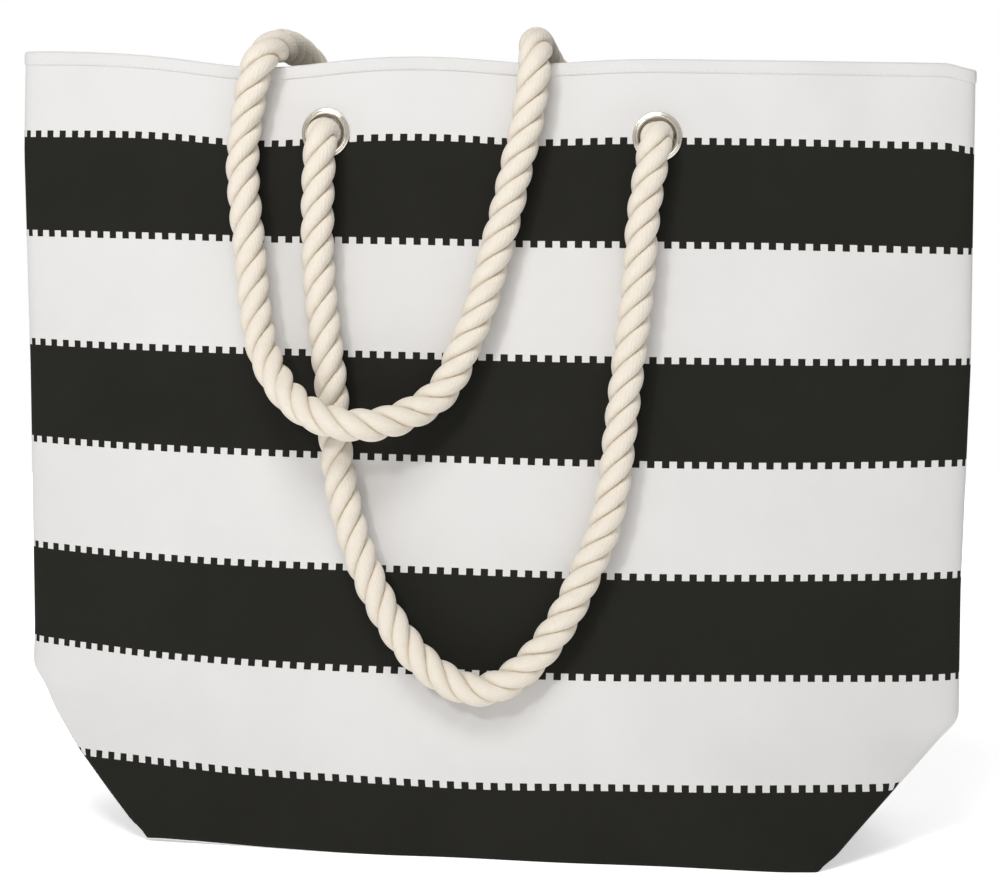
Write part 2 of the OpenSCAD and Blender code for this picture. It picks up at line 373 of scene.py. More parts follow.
# Points of the front handle, left to right: across, out from the cloth, down from the eyelets. These and
# LOOP_POINTS were typed along positions read off the photo, which a scratch script put in millimetres
FRONT_POINTS = (
    (-0.082, 0.010, 0.020), (-0.082, 0.010, 0.044), (-0.081, 0.010, 0.068), (-0.078, 0.010, 0.092),
    (-0.075, 0.010, 0.112), (-0.072, 0.010, 0.134), (-0.070, 0.010, 0.156), (-0.066, 0.010, 0.177),
    (-0.060, 0.010, 0.198), (-0.051, 0.010, 0.219), (-0.039, 0.010, 0.240), (-0.024, 0.010, 0.257),
    (-0.006, 0.010, 0.268), (0.009, 0.010, 0.269), (0.023, 0.010, 0.261), (0.036, 0.010, 0.247),
    (0.047, 0.010, 0.229), (0.056, 0.010, 0.208), (0.063, 0.010, 0.190), (0.067, 0.010, 0.170),
    (0.069, 0.010, 0.150), (0.071, 0.010, 0.128), (0.073, 0.010, 0.108), (0.075, 0.010, 0.088),
    (0.077, 0.010, 0.064), (0.078, 0.010, 0.042), (0.080, 0.010, 0.024))

# Points of the back handle where it hangs in front of the bag
LOOP_POINTS = (
    (-0.1175, 0.010, -0.018), (-0.121, 0.010, 0.012), (-0.119, 0.011, 0.036), (-0.116, 0.011, 0.060),
    (-0.113, 0.012, 0.084), (-0.108, 0.014, 0.106), (-0.097, 0.020, 0.124), (-0.084, 0.026, 0.134),
    (-0.071, 0.029, 0.139), (-0.057, 0.028, 0.141), (-0.044, 0.023, 0.140), (-0.031, 0.017, 0.135),
    (-0.019, 0.014, 0.127), (-0.012, 0.012, 0.116), (-0.007, 0.012, 0.102), (0.000, 0.012, 0.084),
    (0.006, 0.011, 0.060), (0.012, 0.011, 0.036), (0.017, 0.011, 0.012), (0.0215, 0.0105, -0.010))

# Points of the back handle from the eyelets in the back, over both rims: across, depth, above the rim
LEFT_RISER_POINTS = (
    (-0.088, 0.0420, -0.027), (-0.093, 0.0418, -0.019), (-0.0970, 0.0390, -0.010), (-0.1000, 0.0325, -0.0030),
    (-0.103, 0.0190, 0.0025), (-0.1050, 0.0030, 0.0055), (-0.1065, -0.0150, 0.0060),
    (-0.1095, -0.0300, 0.0035), (-0.1135, -0.0385, -0.0035))
RIGHT_RISER_POINTS = (
    (0.074, 0.0424, -0.031), (0.062, 0.0424, -0.026), (0.046, 0.0423, -0.019), (0.032, 0.0400, -0.011),
    (0.025, 0.0350, -0.0045), (0.0225, 0.0280, 0.0000), (0.0215, 0.0180, 0.0035), (0.021, 0.0050, 0.0065),
    (0.0215, -0.0100, 0.0078), (0.0225, -0.0260, 0.0065), (0.0240, -0.0380, -0.0010))


def on_front(point):
    across, out, drop = point
    z = EYELET_Z - drop
    return Vector((across, -cloth_depth(across, z) - out, z))


def over_rim(point):
    return Vector((point[0], point[1], BAG_H + point[2]))


def rear(point):
    return Vector((point[0], -point[1], point[2]))


def eyelet_axis(side):
    """Centre and outward direction of an eyelet in the front."""
    x = side * EYELET_X + EYELET_SHIFT
    return Vector((x, -cloth_depth(x, EYELET_Z), EYELET_Z)), cloth_normal(x, EYELET_Z)


def along_eyelet(side, distance):
    centre, normal = eyelet_axis(side)
    return centre + normal * distance


# Distances out along an eyelet's axis that a handle's centreline passes through
BORE_STATIONS = (-0.007, -0.003, 0.001, 0.005, 0.009)


SPLINE_SAMPLES = 24


def resample(points, step):
    """Points along a polyline at an even step."""
    points = np.asarray(points, float)
    run = np.concatenate([[0.0], np.cumsum(np.linalg.norm(np.diff(points, axis=0), axis=1))])
    count = max(2, int(round(run[-1] / step)) + 1)
    at = np.linspace(0.0, run[-1], count)
    return np.stack([np.interp(at, run, points[:, k]) for k in range(3)], -1)


def smooth_path(points, step=0.0005, soften=0.005):
    """An even, smooth centreline close to a rope's points: a spline through them, rounded by averaging."""
    points = np.asarray([tuple(p) for p in points], float)
    spline = []
    padded = np.concatenate([[2 * points[0] - points[1]], points, [2 * points[-1] - points[-2]]])
    for k in range(len(points) - 1):
        p0, p1, p2, p3 = padded[k:k + 4]
        for t in np.linspace(0.0, 1.0, SPLINE_SAMPLES, endpoint=False):
            spline.append(0.5 * (2 * p1 + (p2 - p0) * t + (2 * p0 - 5 * p1 + 4 * p2 - p3) * t * t
                                 + (3 * p1 - p0 - 3 * p2 + p3) * t ** 3))
    spline.append(points[-1])
    line = resample(spline, step)
    reach = int(3 * soften / step)
    weights = np.exp(-0.5 * (np.arange(-reach, reach + 1) * step / soften) ** 2)
    weights /= weights.sum()
    head = 2 * line[0] - line[reach:0:-1]
    tail = 2 * line[-1] - line[-2:-reach - 2:-1]
    extended = np.concatenate([head, line, tail])
    return np.stack([np.convolve(extended[:, k], weights, "valid") for k in range(3)], -1)


def path_frames(line):
    """Tangents and normals that don't twist about the line."""
    tangents = np.gradient(line, axis=0)
    tangents /= np.linalg.norm(tangents, axis=1)[:, None]
    normal = np.cross(tangents[0], (0.31, 0.17, 0.94))
    normals = [normal / np.linalg.norm(normal)]
    for tangent in tangents[1:]:
        normal = normals[-1] - tangent * (normals[-1] @ tangent)
        normals.append(normal / np.linalg.norm(normal))
    return tangents, np.array(normals)


STRAND_SAMPLES = 18
RING_STEP = 0.0013
PATH_STEP = 0.006


def strand_outline():
    """One strand's part of the rope's outline: a full crown that falls steeply into the grooves.

    Gives the place across the strand, from -1 to 1, and the distance from the rope's centre.
    """
    s = np.linspace(-1.0, 1.0, STRAND_SAMPLES, endpoint=False)
    across = 0.5 * s + 0.5 * np.sin(0.5 * math.pi * s)
    return across, 1.0 - 0.25 * across ** 2 - 0.10 * across ** 6


class Rope:
    """A continuous rope along a centreline, from which pieces are cut that fit each other ring by ring."""

    def __init__(self, points, radii, soften=0.005, lay=ROPE_LAY):
        fine = smooth_path(points, soften=soften)
        self.line = resample(fine, RING_STEP)
        self.tangents, self.normals = path_frames(self.line)
        steps = np.linalg.norm(np.diff(self.line, axis=0), axis=1)
        self.run = np.concatenate([[0.0], np.cumsum(steps)])
        self.radii = radii(self.run, self.run[-1])
        self.lay = lay

    def nearest(self, point):
        return int(np.argmin(np.linalg.norm(self.line - np.array(tuple(point)), axis=1)))

    def length(self, first=0, last=None):
        return float(self.run[-1 if last is None else last] - self.run[first])

    def path(self, first=0, last=None):
        last = len(self.line) - 1 if last is None else last
        return resample(self.line[first:last + 1], PATH_STEP)

    def piece(self, name, first=0, last=None):
        """A closed mesh of three twisted strands between two rings."""
        last = len(self.line) - 1 if last is None else last
        rings = np.arange(first, last + 1)
        binormals = np.cross(self.tangents, self.normals)
        across, distance = strand_outline()
        turns = np.concatenate([math.radians(180.0 / STRANDS) * across + math.radians(360.0 / STRANDS * k)
                                for k in range(STRANDS)])
        reach = np.tile(distance, STRANDS)
        phase = 2 * math.pi * self.run[rings] / self.lay
        w = turns[None, :] + phase[:, None]
        r = reach[None, :] * self.radii[rings][:, None]
        points = (self.line[rings][:, None, :]
                  + (r * np.cos(w))[..., None] * self.normals[rings][:, None, :]
                  + (r * np.sin(w))[..., None] * binormals[rings][:, None, :])
        around = len(turns)
        faces = list(grid_faces(len(rings), around, closed=True))
        vertices = list(points.reshape(-1, 3))
        for ring, flip in ((0, False), (len(rings) - 1, True)):
            centre = len(vertices)
            vertices.append(self.line[rings[ring]])
            for k in range(around):
                a, b = ring * around + k, ring * around + (k + 1) % around
                faces.append((centre, a, b) if flip else (centre, b, a))
        made = make_object(name, vertices, faces, [COTTON])
        self.write_strand_layer(made, rings, around)
        return made

    def write_strand_layer(self, made, rings, around):
        """A UV layer with the place across a strand, 0 to 1 in each strand, and the length along the rope."""
        uv = made.data.uv_layers.new(name="strand")
        sides = grid_faces(len(rings), around, closed=True)
        place = np.tile((strand_outline()[0] + 1) / 2, STRANDS)
        across = place[sides % around]
        across[:, 1:3] = np.where(across[:, 1:3] == 0, 1.0, across[:, 1:3])
        along = self.run[rings][sides // around]
        values = np.stack([across, along], -1).reshape(-1, 2)
        caps = np.tile((0.5, 0.0), (len(made.data.loops) - len(values), 1))
        uv.data.foreach_set("uv", np.concatenate([values, caps]).astype(np.float32).ravel())


def turn_blend(made):
    """Bakes a rope piece's transform into its mesh."""
    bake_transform(made)


# How much thinner a rope is in an eyelet, for how far, and the length in which it is full again
SQUEEZE, SQUEEZE_RUN, SQUEEZE_EASE = 0.0004, 0.008, 0.010


def handle_radii(run, total):
    """The rope is drawn in a little where it passes through its eyelets."""
    from_end = np.minimum(run, total - run)
    return ROPE_R - SQUEEZE * (1 - smooth_step((from_end - SQUEEZE_RUN) / SQUEEZE_EASE))


def handle_front():
    bore_in = [along_eyelet(-1, d) for d in BORE_STATIONS]
    bore_out = [along_eyelet(1, d) for d in reversed(BORE_STATIONS)]
    return Rope(bore_in + [on_front(p) for p in FRONT_POINTS] + bore_out, radii=handle_radii)


def handle_back():
    bore_in = [rear(along_eyelet(-1, d)) for d in BORE_STATIONS]
    bore_out = [rear(along_eyelet(1, d)) for d in reversed(BORE_STATIONS)]
    left = [over_rim(p) for p in LEFT_RISER_POINTS]
    right = [over_rim(p) for p in reversed(RIGHT_RISER_POINTS)]
    return Rope(bore_in + left + [on_front(p) for p in LOOP_POINTS] + right + bore_out, radii=handle_radii)


# A stopper knot's centreline in its eyelet's own axes, tied a little tighter than the rope is thick
KNOT_ROPE_R = 0.0062
KNOT_WIDTH = 0.0098
KNOT_THICK = 0.0052
KNOT_DEPTH = 0.0162
KNOT_TAIL = 0.016


def knot_points():
    """An overhand knot, an open trefoil, that is led in from the eyelet and ends in a short tail."""
    points = [(0.0, 0.0, -0.004), (0.0, 0.001, -0.0075)]
    for t in np.radians(np.linspace(200.0, 505.0, 28)):
        radius = KNOT_WIDTH / 3
        points.append((radius * (math.sin(t) + 2 * math.sin(2 * t)),
                       radius * (math.cos(t) - 2 * math.cos(2 * t)),
                       -KNOT_DEPTH - KNOT_THICK * math.sin(3 * t)))
    end = np.array(points[-1])
    out = np.array([end[0], end[1], 0.0])
    out /= np.linalg.norm(out)
    points.append(tuple(end + out * KNOT_TAIL * 0.5))
    points.append(tuple(end + out * KNOT_TAIL))
    return points


def eyelet_matrix(side, face):
    """Takes an eyelet's own axes, with Z out of the cloth, to the frame. Face is -1 in front and 1 behind."""
    centre, normal = eyelet_axis(side)
    if face > 0:
        centre, normal = rear(centre), rear(normal)
    across = Vector((1.0, 0.0, 0.0))
    across = (across - normal * across.dot(normal)).normalized()
    up = normal.cross(across)
    turn = Matrix((across, up, normal)).transposed()
    return Matrix.Translation(centre) @ turn.to_4x4()


def make_knot(side, face):
    """The rope's end in an eyelet, with its stopper knot behind the washer."""
    node = f"knot_{'front' if face < 0 else 'back'}_{'left' if side < 0 else 'right'}"
    place = eyelet_matrix(side, face)
    points = [place @ Vector(p) for p in knot_points()]

    def radii(run, total):
        squeeze = smooth_step((run - 0.002) / 0.008)
        fray = smooth_step((run - total + 0.006) / 0.006)
        return ROPE_R + (KNOT_ROPE_R - ROPE_R) * squeeze + 0.0012 * fray

    knot = Rope(points, radii=radii, soften=0.0018, lay=ROPE_LAY * 0.85)
    made = knot.piece(node + "_rope")
    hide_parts(node)
    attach(made, "bag")
    return made


def make_ropes():
    knots = {(face, side): make_knot(side, face) for face in (-1, 1) for side in (-1, 1)}

    front = handle_front()
    piece = front.piece("front_handle_rope")
    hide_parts("front_rope")
    pivot = along_eyelet(-1, ROPE_OUT)
    turn_blend(piece)
    along_eyelet(-1, 0.0)
    front.length()
    front.path()

    back = handle_back()
    cut_left = back.nearest(over_rim(LEFT_RISER_POINTS[6]))
    cut_right = back.nearest(over_rim(RIGHT_RISER_POINTS[8]))
    for side, first, last in ((-1, 0, cut_left), (1, cut_right, len(back.line) - 1)):
        word = "left" if side < 0 else "right"
        riser = back.piece(f"back_handle_{word}_riser_rope", first, last)
        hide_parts(f"back_rope_{word}_riser")
        turn_blend(riser)
        rear(along_eyelet(side, 0.0))
        back.length(first, last)
        back.path(first, last)
    loop = back.piece("back_handle_loop_rope", cut_left, cut_right)
    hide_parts("back_rope_loop")
    turn_blend(loop)
    tuple(back.line[cut_left])
    back.length(cut_left, cut_right)
    back.path(cut_left, cut_right)


# ---- Cloth walls ----

# Where the ropes that lie over the rims press them down: across, reach and depth
RIM_DIPS = {-1: ((-0.114, 0.044, 0.0062), (0.023, 0.032, 0.0028)),
            1: ((-0.101, 0.045, 0.0112), (0.025, 0.042, 0.0096))}
SECTION_SAMPLES = 2048
LEVEL_STEP = 0.002


def seam_reach(side, z):
    heights, reaches = zip(*SEAMS[side])
    return np.interp(z, heights, reaches)


def section(z):
    """The front half of the bag's outline at a height, evenly spaced from the left seam to the right seam."""
    belly = belly_depth(z)
    front = []
    for side in (-1, 1):
        wide, edge = seam_reach(side, z), edge_depth(z, FOLD_HEIGHTS[side])
        u = np.linspace(0.0, 1.0, 300)
        x = side * u * wide
        y = -(edge + max(belly - edge, 0.0) * (1 - u ** BELLY_POWER))
        y = y - FOOT_BOW * (1 - u ** 2) * float(smooth_step((0.10 - z) / 0.10))
        part = np.stack([np.append(x, side * wide), np.append(y, 0.0)], -1)
        front.append(part[::-1] if side < 0 else part[1:])
    front = np.concatenate(front)
    loop = np.concatenate([front, front[-2::-1] * (1, -1)])
    run = np.concatenate([[0.0], np.cumsum(np.linalg.norm(np.diff(loop, axis=0), axis=1))])
    at = np.linspace(0.0, run[-1], SECTION_SAMPLES, endpoint=False)
    even = np.interp(at, run, loop[:, 0]) + 1j * np.interp(at, run, loop[:, 1])
    # Corners are crisp at the base and rounder up the side seams
    soften = 0.0036 + 0.0037 * float(smooth_step((z - 0.03) / 0.06))
    waves = np.fft.fftfreq(SECTION_SAMPLES, 1.0 / SECTION_SAMPLES)
    kept = np.exp(-0.5 * (2 * math.pi * waves * soften / run[-1]) ** 2)
    even = np.fft.ifft(np.fft.fft(even) * kept)
    half = even[:SECTION_SAMPLES // 2 + 1]
    left, right = seam_reach(-1, z), seam_reach(1, z)
    x = np.where(half.real < 0, half.real * left / -half.real.min(), half.real * right / half.real.max())
    return np.stack([x, np.minimum(half.imag, 0.0)], -1)


def cloth_slack(x, z, face):
    """How far soft cloth stands out from the drawn surface: low folds, none at the seams or the eyelets."""
    near_seam = smooth_step((RIM_W / 2 - 0.012 - np.abs(x)) / 0.05)
    high = smooth_step((z - 0.20) / (BAG_H - 0.20))
    low = smooth_step((0.16 - z) / 0.16)
    sway = 0.35 * np.sin(11.0 * z + face)
    wide_folds = 0.0011 * np.sin(2 * math.pi * (x / 0.23 + sway) + 0.8 * face)
    top_folds = 0.0007 * high * np.sin(2 * math.pi * (x / 0.071 + 0.5 * face) + 9.0 * z)
    base_folds = 0.0009 * low * np.sin(2 * math.pi * (x / 0.11 + z / 0.09) + face)
    eyelet_distance = np.hypot(np.abs(x - EYELET_SHIFT) - EYELET_X, z - EYELET_Z)
    clear = smooth_step((eyelet_distance - 0.014) / 0.03)
    return (wide_folds + top_folds + base_folds) * near_seam * clear


def cloth_lift(x, z):
    share = x / np.where(x < 0, seam_reach(-1, z), seam_reach(1, z))
    place = np.sign(x) * np.clip(np.abs(share), 0.0, 1.0)
    heights = [row[0] for row in LIFTS]
    columns = np.stack([np.interp(z, heights, [row[k + 1] for row in LIFTS])
                        for k in range(len(LIFT_AT))], -1)
    lift = np.zeros_like(x)
    for k in range(len(LIFT_AT) - 1):
        t = (place - LIFT_AT[k]) / (LIFT_AT[k + 1] - LIFT_AT[k])
        inside = (t >= 0) & (t <= 1)
        t = smooth_step(t)
        lift = np.where(inside, (1 - t) * columns[..., k] + t * columns[..., k + 1], lift)
    return 0.001 * lift


def rim_rise(x, z, face):
    """How far the cloth near the rim is raised or pressed down."""
    share = smooth_step((z - 0.275) / (BAG_H - 0.275))
    near_rim = smooth_step((z - 0.355) / (BAG_H - 0.355))
    rise = 0.0004 + 0.0006 * smooth_step((0.10 - x) / 0.15)
    rise = rise + 0.0014 * smooth_step((-x - 0.15) / 0.08) * near_rim
    rise = rise - 0.0030 * smooth_step((x - RIM_W / 2 + 0.020) / 0.018)
    for centre, reach, depth in RIM_DIPS[face]:
        rise = rise - depth * np.exp(-((x - centre) / reach) ** 2)
    return rise * share


class Wall:
    """The outer face of the front or back cloth, as points by place across (0 to 1) and height."""

    def __init__(self, face):
        self.face = face
        self.levels = np.arange(0.0, BAG_H + LEVEL_STEP / 2, LEVEL_STEP)
        rows = np.array([section(float(z)) for z in self.levels])
        rows = self.soften_levels(rows)
        x, y = rows[..., 0], rows[..., 1]
        z = np.repeat(self.levels[:, None], x.shape[1], axis=1)
        y = np.minimum(y - cloth_slack(x, z, face), 0.0)
        z = z + rim_rise(x, z, face) + cloth_lift(x, z)
        self.points = np.stack([x, y * -face, z], -1)
        across = np.gradient(self.points, axis=1)
        up = np.gradient(self.points, axis=0)
        normals = np.cross(across, up) * -face
        self.normals = unit(normals)

    @staticmethod
    def soften_levels(rows):
        """Averages each level with its neighbours, so that the corner folds are soft."""
        weights = np.exp(-0.5 * (np.arange(-4, 5) / 1.6) ** 2)
        weights /= weights.sum()
        head = 2 * rows[0] - rows[4:0:-1]
        tail = 2 * rows[-1] - rows[-2:-6:-1]
        padded = np.concatenate([head, rows, tail])
        return sum(w * padded[k:k + len(rows)] for k, w in enumerate(weights))

    def pick(self, table, across, z):
        a = np.clip(np.asarray(across) * (table.shape[1] - 1), 0, table.shape[1] - 1.001)
        b = np.clip(np.asarray(z) / LEVEL_STEP, 0, table.shape[0] - 1.001)
        i, j = a.astype(int), b.astype(int)
        s, t = (a - i)[..., None], (b - j)[..., None]
        return ((1 - s) * (1 - t) * table[j, i] + s * (1 - t) * table[j, i + 1]
                + (1 - s) * t * table[j + 1, i] + s * t * table[j + 1, i + 1])

    def at(self, across, z, inset=0.0):
        """Points a distance in from the outer face. They stay on their own side of the seams."""
        across, z = np.broadcast_arrays(np.asarray(across, float), np.asarray(z, float))
        normals = unit(self.pick(self.normals, across, z))
        points = self.pick(self.points, across, z) - normals * np.asarray(inset)[..., None]
        own_side = np.maximum(points[..., 1] * self.face, 0.0002)
        points[..., 1] = own_side * self.face
        points[..., 2] = np.maximum(points[..., 2], 0.0)
        return points

    def width(self, z):
        line = self.at(np.linspace(0, 1, 400), z)
        return float(np.linalg.norm(np.diff(line, axis=0), axis=1).sum())


# Columns of printed teeth and gaps across a wall, and the columns of faces in each
COLUMNS = 138
COLUMN_FACES = 2
WALL_TOP = BAG_H - BINDING_T - LAYER_GAP


def wall_heights(low, high):
    """Levels of a wall: on the edges of the printed teeth and between them, closer below the folds."""
    marks = [low, low + 0.001, low + 0.0025, high]
    for edge in STRIPE_EDGES:
        marks += [edge - TOOTH_H / 2, edge + TOOTH_H / 2]
    marks = sorted(marks)
    heights = []
    for a, b in zip(marks, marks[1:]):
        step = 0.002 if a < max(FOLD_HEIGHTS.values()) else 0.006
        count = max(1, int(round((b - a) / step)))
        heights += [a + (b - a) * k / count for k in range(count)]
    return np.array(heights + [high])


def is_black(z, column):
    """Whether the print is black at a height, in one column of the cloth."""
    for k, edge in enumerate(STRIPE_EDGES):
        if abs(z - edge) < TOOTH_H / 2:
            return column % 2 == 0
        if z > edge:
            return k % 2 == 1
    return True


def base_tuck(x, z):
    """How far the foot of the wall is drawn in to meet the base, most in the corners."""
    corner = smooth_step((np.abs(x) - 0.45 * BASE_W) / (0.05 * BASE_W))
    reach = 0.0042 + 0.0030 * corner
    t = np.clip((reach - z) / reach, 0.0, 1.0)
    return (0.0032 + 0.0022 * corner) * (1 - np.sqrt(1 - t * t))


def make_wall(name, wall, inset, thickness, low, materials, printed):
    """A closed sheet between two insets of a wall, with its print face by face."""
    heights = wall_heights(low, WALL_TOP)
    across = np.linspace(0.0, 1.0, COLUMNS * COLUMN_FACES + 1)
    a, z = np.meshgrid(across, heights)
    tuck = base_tuck(wall.at(a, z)[..., 0], z)
    outer = wall.at(a, z, inset + tuck)
    inner = wall.at(a, z, inset + thickness + tuck)
    rows, columns = a.shape
    vertices = np.concatenate([outer.reshape(-1, 3), inner.reshape(-1, 3)])
    count = rows * columns
    flip = wall.face > 0
    front = grid_faces(rows, columns, flip=flip)
    back = grid_faces(rows, columns, first=count, flip=not flip)
    border = grid_border(rows, columns)
    rim = []
    for k, first in enumerate(border):
        second = border[(k + 1) % len(border)]
        quad = (first, first + count, second + count, second)
        rim.append(quad[::-1] if flip else quad)
    made = make_object(name, vertices, np.concatenate([front, back, np.array(rim)]), materials)
    if printed:
        ink = np.zeros(len(made.data.polygons), int)
        cell = 0
        for r in range(rows - 1):
            middle = (heights[r] + heights[r + 1]) / 2
            for c in range(columns - 1):
                ink[cell] = int(is_black(middle, c // COLUMN_FACES))
                ink[cell + len(front)] = ink[cell]
                cell += 1
        made.data.polygons.foreach_set("material_index", ink)
    place = np.stack([a * WEAVE_W, z], -1).reshape(-1, 2)
    set_layer(made, "cloth", np.concatenate([place, place]))
    cut_eyelet_holes(made, wall.face)
    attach(made, "bag")
    return made


def cut_eyelet_holes(made, face):
    for side in (-1, 1):
        mesh = bpy.data.meshes.new("cutter")
        shape = bmesh.new()
        bmesh.ops.create_cone(shape, cap_ends=True, segments=48, radius1=HOLE_R,
                              radius2=HOLE_R, depth=0.016, matrix=eyelet_matrix(side, face))
        shape.to_mesh(mesh)
        shape.free()
        cutter = bpy.data.objects.new("cutter", mesh)
        bpy.context.scene.collection.objects.link(cutter)
        modifier = made.modifiers.new("hole", "BOOLEAN")
        modifier.operation = "DIFFERENCE"
        modifier.solver = "EXACT"
        modifier.object = cutter
        apply_modifiers(made)
        bpy.data.objects.remove(cutter)
        bpy.data.meshes.remove(mesh)


def apply_modifiers(made):
    graph = bpy.context.evaluated_depsgraph_get()
    graph.update()
    mesh = bpy.data.meshes.new_from_object(made.evaluated_get(graph))
    old = made.data
    made.modifiers.clear()
    made.data = mesh
    bpy.data.meshes.remove(old)
    mesh.name = made.name
    mesh.set_sharp_from_angle(angle=math.radians(35.0))


def make_binding(name, wall, node):
    """The tape that is folded over the rim, from its outer foot over the top to its inner foot."""
    out = -0.00005
    back = CANVAS_T + LAYER_GAP + LINING_T + LAYER_GAP * 0.5
    top = BAG_H - BINDING_T
    foot = BAG_H - BINDING_H
    arc = np.linspace(0.0, math.pi, 11)
    middle, reach = (out + back) / 2, (back - out) / 2

    def profile(grow):
        """Inset and height of the tape's inner face, or of its outer face when grown by its thickness."""
        sides = [(foot, 0.15), (foot + 0.0005, 0.6), (foot + 0.0014, 0.95), (foot + 0.003, 1.1),
                 (top - 0.0012, 1.0)]
        points = [(out - grow * full, z) for z, full in sides]
        points += [(middle - (reach + grow) * math.cos(t), top - 0.0010 + (0.0010 + grow) * math.sin(t))
                   for t in arc]
        return points + [(back + grow * full, z) for z, full in reversed(sides)]

    outline = profile(BINDING_T) + profile(0.0)[::-1]
    across = np.linspace(0.0, 1.0, 2 * COLUMNS + 1)
    rings = np.array([wall.at(across, np.full_like(across, z), np.full_like(across, inset))
                      for inset, z in outline])
    # Heights above the wall's own top are carried up from it
    for k, (inset, z) in enumerate(outline):
        rings[k, :, 2] += max(z - BAG_H, 0.0)
    points = np.swapaxes(rings, 0, 1)
    sides = len(outline)
    faces = list(grid_faces(len(across), sides, closed=True, flip=wall.face < 0))
    half = sides // 2
    last = (len(across) - 1) * sides
    for k in range(half - 1):
        quad = (k, k + 1, sides - 2 - k, sides - 1 - k)
        faces.append(quad if wall.face < 0 else quad[::-1])
        end = tuple(last + q for q in quad)
        faces.append(end[::-1] if wall.face < 0 else end)
    made = make_object(name, points.reshape(-1, 3), faces, [BINDING_TAPE])
    run = np.repeat(across * WEAVE_W, sides)
    around = np.tile(np.arange(sides) * 0.0015, len(across))
    set_layer(made, "cloth", np.stack([run, around], -1))
    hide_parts(node)
    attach(made, "bag")
    return made


def capsule(length, radius, sides=8, rings=5):
    """A stitch along X: vertices and faces."""
    vertices, faces = [(-length / 2, 0.0, 0.0)], []
    for k in range(1, rings + 1):
        t = math.pi * k / (rings + 1)
        for s in range(sides):
            w = 2 * math.pi * s / sides
            vertices.append((-length / 2 * math.cos(t), radius * math.sin(t) ** 0.6 * math.cos(w),
                             radius * math.sin(t) ** 0.6 * math.sin(w)))
    vertices.append((length / 2, 0.0, 0.0))
    last = len(vertices) - 1
    for s in range(sides):
        n = (s + 1) % sides
        faces.append((0, 1 + n, 1 + s))
        faces.append((last, 1 + (rings - 1) * sides + s, 1 + (rings - 1) * sides + n))
        for k in range(rings - 1):
            a, b = 1 + k * sides + s, 1 + k * sides + n
            faces.append((a, b, b + sides, a + sides))
    return np.array(vertices), faces


def make_stitches(name, wall, lines):
    """Rows of sewing stitches on a wall: each line gives a list of (across, height) places and an inset."""
    stitch, stitch_faces = capsule(STITCH_L, STITCH_R)
    vertices, faces = [], []
    for places, inset in lines:
        points = wall.at(places[:, 0], places[:, 1], np.full(len(places), inset))
        ahead = wall.at(places[:, 0] + 0.002, places[:, 1], np.full(len(places), inset))
        for point, front in zip(points, ahead):
            along = Vector(front - point).normalized()
            out = Vector((0.0, wall.face, 0.0))
            out = (out - along * out.dot(along)).normalized()
            turn = np.array([tuple(along), tuple(out), tuple(along.cross(out))])
            first = len(vertices)
            vertices += list(stitch @ turn + point)
            faces += [tuple(first + k for k in face) for face in stitch_faces]
    made = make_object(name, vertices, faces, [THREAD])
    set_layer(made, "cloth", np.array(vertices)[:, (0, 2)])
    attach(made, "bag")
    return made


def make_cloth():
    for face, word in ((-1, "front"), (1, "back")):
        wall = Wall(face)
        panel = make_wall(f"{word}_canvas", wall, 0.0, CANVAS_T, CANVAS_LOW, [WHITE_CANVAS, BLACK_CANVAS],
                          True)
        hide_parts(f"{word}_panel")
        lining = make_wall(f"{word}_lining", wall, CANVAS_T + LAYER_GAP, LINING_T, LINING_LOW,
                           [LINING_CLOTH], False)
        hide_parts(f"lining_{word}")
        binding = make_binding(f"{word}_rim_tape", wall, f"rim_binding_{word}")
        count = int(wall.width(BAG_H - BINDING_H) / STITCH_PITCH)
        across = (np.arange(count) + 0.5) / count
        row = np.stack([across, np.full(count, BAG_H - BINDING_H + STITCH_RISE)], -1)
        inner = CANVAS_T + 2 * LAYER_GAP + LINING_T + BINDING_T
        stitches = make_stitches(f"{word}_rim_stitches", wall, [(row, -BINDING_T * 0.8), (row, inner)])
        width = wall.width(BAG_H / 2)
        wall.width(BAG_H)


def base_edge(wall, across, inset):
    """Where a cloth on the bottom meets the foot of a wall."""
    foot = wall.at(across, np.zeros_like(across))
    edge = wall.at(across, np.zeros_like(across), inset + base_tuck(foot[:, 0], 0.0))
    edge[:, 2] = foot[:, 2]
    return edge


def make_base(name, node, inset, low, thickness, material):
    """An almost flat cloth that fills the outline between the feet of the two walls."""
    across = np.linspace(0.0, 1.0, 97)
    rows = 25
    share = np.linspace(0.0, 1.0, rows)[:, None]
    front = base_edge(Wall(-1), across, inset)
    back = base_edge(Wall(1), across, inset)
    x, y, z = (front[None, :, k] * (1 - share) + back[None, :, k] * share for k in range(3))
    dome = 0.0004 * np.cos(x * 60.0) * np.cos(y * 45.0) * 4 * share * (1 - share)
    bottom = np.stack([x, y, z + low], -1)
    top = bottom + np.stack([0 * x, 0 * x, thickness + np.abs(dome)], -1)
    columns = len(across)
    count = rows * columns
    border = grid_border(rows, columns)
    rim = [(a, b, b + count, a + count) for a, b in zip(border, border[1:] + border[:1])]
    faces = np.concatenate([grid_faces(rows, columns, flip=True), grid_faces(rows, columns, first=count),
                            np.array(rim)])
    vertices = np.concatenate([bottom.reshape(-1, 3), top.reshape(-1, 3)])
    made = make_object(name, vertices, faces, [material])
    set_layer(made, "cloth", vertices[:, :2])
    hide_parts(node)
    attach(made, "bag")
    return made


# ---- Eyelets ----

